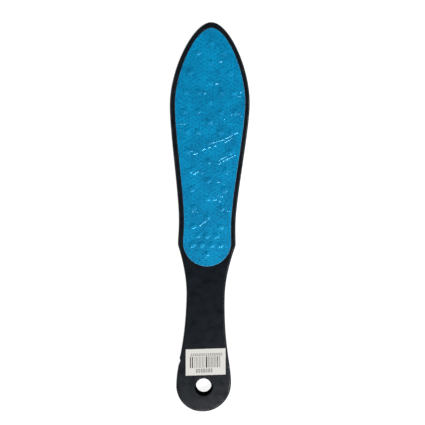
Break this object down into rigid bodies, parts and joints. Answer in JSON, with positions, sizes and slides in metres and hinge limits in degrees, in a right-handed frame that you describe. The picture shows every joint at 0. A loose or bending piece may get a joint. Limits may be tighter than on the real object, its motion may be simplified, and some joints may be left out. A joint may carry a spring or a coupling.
{
  "type": "foot file",
  "caption": "Flat two-sided foot file: a moulded paddle with a hanging hole, a domed coarse plate on its front and a flat fine plate on its rear.",
  "frame": {"origin": "under the centre of the box, on the plane that the rear face lies on", "axes": "+Y runs from the handle's end to the tip, +X across the blade to the right as seen from the front, +Z out of the coarse front face"},
  "size_m": [0.0536, 0.26, 0.0066],
  "materials": {
    "body_plastic": "matt black moulded ABS with a fine spark texture",
    "coarse_plate_metal": "blue coated steel sheet with coarse teeth and pressed domes",
    "fine_plate_metal": "blue coated steel sheet with fine teeth",
    "adhesive": "pale double-sided acrylic tape",
    "film": "clear glossy protective film",
    "label_paper": "matt off-white label paper"
  },
  "bodies": {
    "root": {"handle_body": "body_plastic", "coarse_plate": "coarse_plate_metal", "coarse_plate_adhesive": "adhesive", "coarse_plate_film": "film", "fine_plate": "fine_plate_metal", "fine_plate_adhesive": "adhesive", "fine_plate_film": "film", "price_label": "label_paper"}
  },
  "joints": []
}
